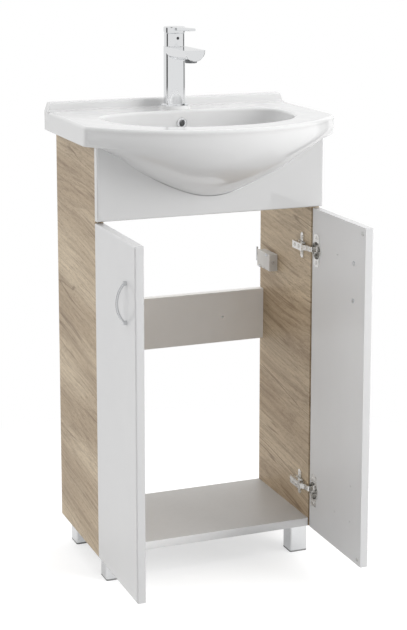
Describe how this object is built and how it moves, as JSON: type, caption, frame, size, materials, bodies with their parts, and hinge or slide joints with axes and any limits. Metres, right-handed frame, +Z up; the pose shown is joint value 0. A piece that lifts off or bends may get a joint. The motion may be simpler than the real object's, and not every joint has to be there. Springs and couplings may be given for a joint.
{
  "type": "sink base cabinet",
  "caption": "Washbasin base cabinet with hinged front doors, a ceramic basin that bulges over the front, a lever mixer tap and short square legs.",
  "frame": {"origin": "on the floor under the middle of the space the unit takes with both doors open at 90 degrees", "axes": "+Z up, +Y towards the wall behind the unit, +X to the right of someone who faces the doors"},
  "size_m": [0.496, 0.4684, 1.0345],
  "materials": {
    "oak_decor": "oak-grain decor foil, satin",
    "white_gloss_front": "white high-gloss lacquer",
    "white_board": "white melamine, satin",
    "beech": "plain beech",
    "glazed_ceramic": "white glaze",
    "white_plastic": "satin",
    "dark_plastic": "matte",
    "grey_plastic": "matte",
    "clear_soft_plastic": "soft translucent",
    "rubber": "matte",
    "chrome": "polished chrome plate",
    "nickel_steel": "nickel-plated pressed steel",
    "zinc_steel": "zinc-plated"
  },
  "bodies": {
    "cabinet": {"back_rail": "white_board", "basin": "glazed_ceramic", "bottom_panel": "white_board", "bracket_screws": "zinc_steel", "cam_bolts": "zinc_steel", "cam_locks": "zinc_steel", "corner_brackets": "zinc_steel", "dowels": "beech", "front_panel": "white_gloss_front", "hanger_hook_left": "zinc_steel", "hanger_hook_right": "zinc_steel", "hanger_housing_left": "white_plastic", "hanger_housing_right": "white_plastic", "hanger_screws": "zinc_steel", "hinge_arm_high_left": "nickel_steel", "hinge_arm_high_right": "nickel_steel", "hinge_arm_low_left": "nickel_steel", "hinge_arm_low_right": "nickel_steel", "hinge_plate_high_left": "nickel_steel", "hinge_plate_high_right": "nickel_steel", "hinge_plate_low_left": "nickel_steel", "hinge_plate_low_right": "nickel_steel", "hinge_screws": "zinc_steel", "leg_front_left": "chrome", "leg_front_right": "chrome", "leg_glides": "dark_plastic", "leg_rear_left": "chrome", "leg_rear_right": "chrome", "leg_screws": "zinc_steel", "overflow_ring": "chrome", "panel_pins": "beech", "side_panel_left": "oak_decor", "side_panel_right": "oak_decor", "tap_aerator": "grey_plastic", "tap_base_ring": "chrome", "tap_body": "chrome", "tap_clamp": "zinc_steel", "tap_gasket": "rubber", "tap_nut": "zinc_steel", "tap_stud": "zinc_steel"},
    "door_right": {"cup_screws_right": "zinc_steel", "door_buffers_right": "clear_soft_plastic", "door_right": "white_gloss_front", "handle_right": "chrome", "handle_screws_right": "zinc_steel", "hinge_cup_high_right": "nickel_steel", "hinge_cup_low_right": "nickel_steel", "hinge_pins_right": "zinc_steel"},
    "door_left": {"cup_screws_left": "zinc_steel", "door_buffers_left": "clear_soft_plastic", "door_left": "white_gloss_front", "handle_left": "chrome", "handle_screws_left": "zinc_steel", "hinge_cup_high_left": "nickel_steel", "hinge_cup_low_left": "nickel_steel", "hinge_pins_left": "zinc_steel"},
    "tap_head": {"tap_head": "chrome", "tap_lever_pin": "zinc_steel", "tap_plug": "dark_plastic"},
    "tap_lever": {"tap_lever": "chrome"}
  },
  "joints": [
    {"name": "door_right_swing", "type": "hinge", "parent": "cabinet", "child": "door_right", "pos_m": [0.2175, -0.01825, 0.3725], "axis": [0, 0, 1], "range_deg": [-90, 10]},
    {"name": "door_left_swing", "type": "hinge", "parent": "cabinet", "child": "door_left", "pos_m": [-0.2175, -0.01825, 0.3725], "axis": [0, 0, -1], "range_deg": [-90, 10]},
    {"name": "temperature_turn", "type": "hinge", "parent": "cabinet", "child": "tap_head", "pos_m": [0, 0.17925, 0.9945], "axis": [0, 0, 1], "range_deg": [-45, 45]},
    {"name": "flow_lift", "type": "hinge", "parent": "tap_head", "child": "tap_lever", "pos_m": [0, 0.17925, 1.0135], "axis": [-1, 0, 0], "range_deg": [0, 20]}
  ]
}
